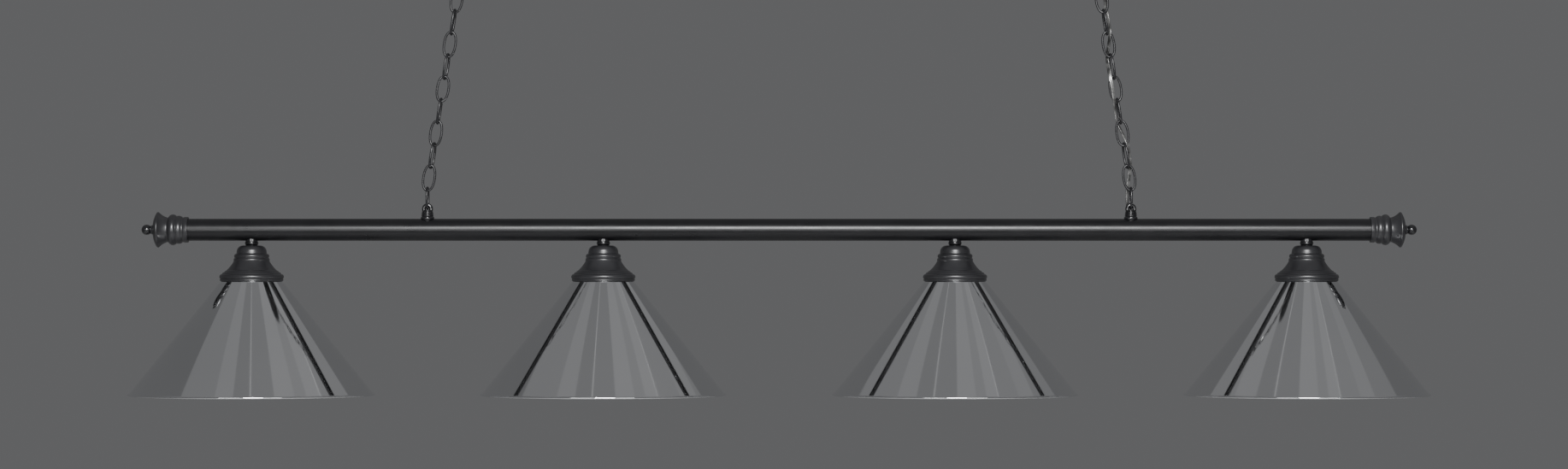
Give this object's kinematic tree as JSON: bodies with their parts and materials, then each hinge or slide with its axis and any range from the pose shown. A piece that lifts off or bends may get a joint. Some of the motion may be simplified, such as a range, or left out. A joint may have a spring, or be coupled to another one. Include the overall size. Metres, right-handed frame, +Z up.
{
  "type": "pool table lamp",
  "caption": "Long horizontal bar hung on two leaning chains from ceiling canopies, with cone-shaped metal shades in a row beneath it.",
  "frame": {"origin": "on the ceiling plane, midway between the two canopies", "axes": "+X along the bar, +Z up, -Y towards the viewer's side"},
  "size_m": [1.8795, 0.3556, 0.667],
  "materials": {
    "black_satin": "satin black powder coat",
    "black_gloss": "gloss black enamel",
    "black_chain": "semi-gloss black enamel",
    "chrome": "mirror-polished chrome",
    "zinc_steel": "zinc-plated steel",
    "brass": "plain brass",
    "nickel_base": "nickel-plated shell",
    "cord": "clear silver cord insulation",
    "wire": "lead insulation",
    "socket_body": "unglazed porcelain",
    "ring_plastic": "moulded phenolic",
    "frosted_glass": "frosted"
  },
  "bodies": {
    "ceiling": {"canopy_left": "black_satin", "mounting_strap_left": "zinc_steel", "ceiling_loop_left": "black_gloss", "collar_ring_left": "black_gloss", "canopy_right": "black_satin", "mounting_strap_right": "zinc_steel", "ceiling_loop_right": "black_gloss", "collar_ring_right": "black_gloss", "ceiling_nipples": "brass", "strap_nuts": "brass"},
    "top_links": {"top_link_left": "black_chain", "top_link_right": "black_chain", "cord_upper": "cord"},
    "chain_right": {"chain_links_right": "black_chain", "cord_chain": "cord"},
    "chain_left": {"chain_links_left": "black_chain"},
    "bar": {"bar_tube": "black_satin", "bar_loop_left": "black_gloss", "bar_link_left": "black_chain", "end_cap_left": "black_satin", "ball_finial_left": "black_gloss", "bar_loop_right": "black_gloss", "bar_link_right": "black_chain", "end_cap_right": "black_satin", "ball_finial_right": "black_gloss", "end_plugs": "zinc_steel", "loop_lock_nuts": "brass", "cord_lower": "cord", "harness": "wire", "cord_splice": "socket_body", "neck_balls": "black_gloss", "drop_nipples": "brass", "drop_nuts": "brass", "socket_shells": "brass", "socket_contacts": "brass", "holder_1": "black_satin", "socket_1": "socket_body", "shade_1": "chrome", "shade_ring_1": "ring_plastic", "holder_2": "black_satin", "socket_2": "socket_body", "shade_2": "chrome", "shade_ring_2": "ring_plastic", "holder_3": "black_satin", "socket_3": "socket_body", "shade_3": "chrome", "shade_ring_3": "ring_plastic", "holder_4": "black_satin", "socket_4": "socket_body", "shade_4": "chrome", "shade_ring_4": "ring_plastic"},
    "bulb_1": {"bulb_base_1": "nickel_base", "bulb_glass_1": "frosted_glass"},
    "bulb_2": {"bulb_base_2": "nickel_base", "bulb_glass_2": "frosted_glass"},
    "bulb_3": {"bulb_base_3": "nickel_base", "bulb_glass_3": "frosted_glass"},
    "bulb_4": {"bulb_base_4": "nickel_base", "bulb_glass_4": "frosted_glass"}
  },
  "joints": [
    {"name": "swing", "type": "hinge", "parent": "ceiling", "child": "top_links", "pos_m": [0, 0, -0.0485], "axis": [1, 0, 0], "range_deg": [-25, 25], "deforming": ["cord_upper"]},
    {"name": "sway", "type": "hinge", "parent": "top_links", "child": "chain_right", "pos_m": [0.46393, 0, -0.08045], "axis": [0, 1, 0], "range_deg": [-8, 8]},
    {"name": "level", "type": "hinge", "parent": "chain_right", "child": "bar", "pos_m": [0.508, 0, -0.36647], "axis": [0, 1, 0], "range_deg": [-7.4, 7.4], "deforming": ["cord_lower"]},
    {"name": "sway_left", "type": "hinge", "parent": "top_links", "child": "chain_left", "pos_m": [-0.46393, 0, -0.08045], "axis": [0, 1, 0], "range_deg": [-8.1, 8.1]},
    {"name": "bulb_turn_1", "type": "hinge", "parent": "bar", "child": "bulb_1", "pos_m": [-0.762, 0, -0.48727], "axis": [0, 0, 1], "range_deg": [0, 720]},
    {"name": "bulb_turn_2", "type": "hinge", "parent": "bar", "child": "bulb_2", "pos_m": [-0.254, 0, -0.48727], "axis": [0, 0, 1], "range_deg": [0, 720]},
    {"name": "bulb_turn_3", "type": "hinge", "parent": "bar", "child": "bulb_3", "pos_m": [0.254, 0, -0.48727], "axis": [0, 0, 1], "range_deg": [0, 720]},
    {"name": "bulb_turn_4", "type": "hinge", "parent": "bar", "child": "bulb_4", "pos_m": [0.762, 0, -0.48727], "axis": [0, 0, 1], "range_deg": [0, 720]}
  ],
  "couplings": [
    {"joint": "level", "follows": "sway", "ratio": -0.91324},
    {"joint": "sway_left", "follows": "sway", "ratio": 1}
  ]
}
